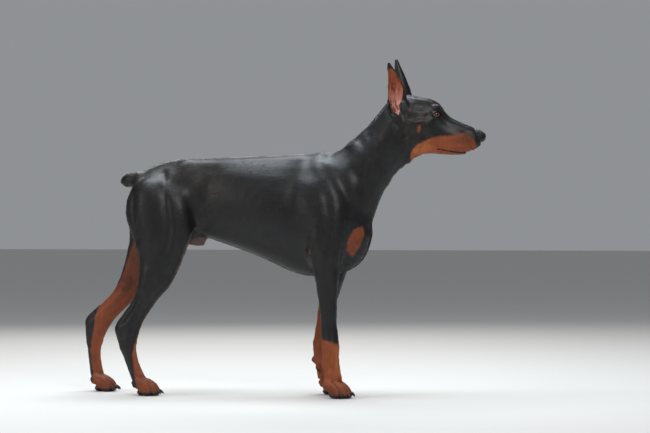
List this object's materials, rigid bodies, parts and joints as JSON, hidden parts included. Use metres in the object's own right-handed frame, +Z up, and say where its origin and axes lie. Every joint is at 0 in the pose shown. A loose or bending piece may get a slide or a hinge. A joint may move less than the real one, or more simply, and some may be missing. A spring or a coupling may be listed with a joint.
{
  "type": "doberman pinscher",
  "caption": "Standing Doberman Pinscher, life size, black and rust coat, cropped upright ears and docked tail, left hind leg set back.",
  "frame": {"origin": "on the floor under the middle of the bounding box", "axes": "+X towards the nose, +Y towards the dog's left side, +Z up"},
  "size_m": [1.1954, 0.2282, 0.962],
  "materials": {
    "coat": "short, dense, glossy hair, black with rust markings",
    "nose_leather": "fine pebbled, slightly moist",
    "eye": "wet gloss",
    "claw": "worn satin horn"
  },
  "bodies": {
    "root": {"torso": "coat", "neck": "coat", "head": "coat", "tail": "coat", "foreleg_right": "coat", "foreleg_left": "coat", "hindleg_right": "coat", "hindleg_left": "coat", "ear_right": "coat", "ear_left": "coat", "paw_fore_right": "coat", "paw_fore_left": "coat", "paw_hind_right": "coat", "paw_hind_left": "coat", "nose": "nose_leather", "eye_right": "eye", "eye_left": "eye", "claw_fore_right_inner": "claw", "claw_fore_right_mid_inner": "claw", "claw_fore_right_mid_outer": "claw", "claw_fore_right_outer": "claw", "claw_fore_left_inner": "claw", "claw_fore_left_mid_inner": "claw", "claw_fore_left_mid_outer": "claw", "claw_fore_left_outer": "claw", "claw_hind_right_inner": "claw", "claw_hind_right_mid_inner": "claw", "claw_hind_right_mid_outer": "claw", "claw_hind_right_outer": "claw", "claw_hind_left_inner": "claw", "claw_hind_left_mid_inner": "claw", "claw_hind_left_mid_outer": "claw", "claw_hind_left_outer": "claw", "dewclaw_right": "claw", "dewclaw_left": "claw"}
  },
  "joints": []
}
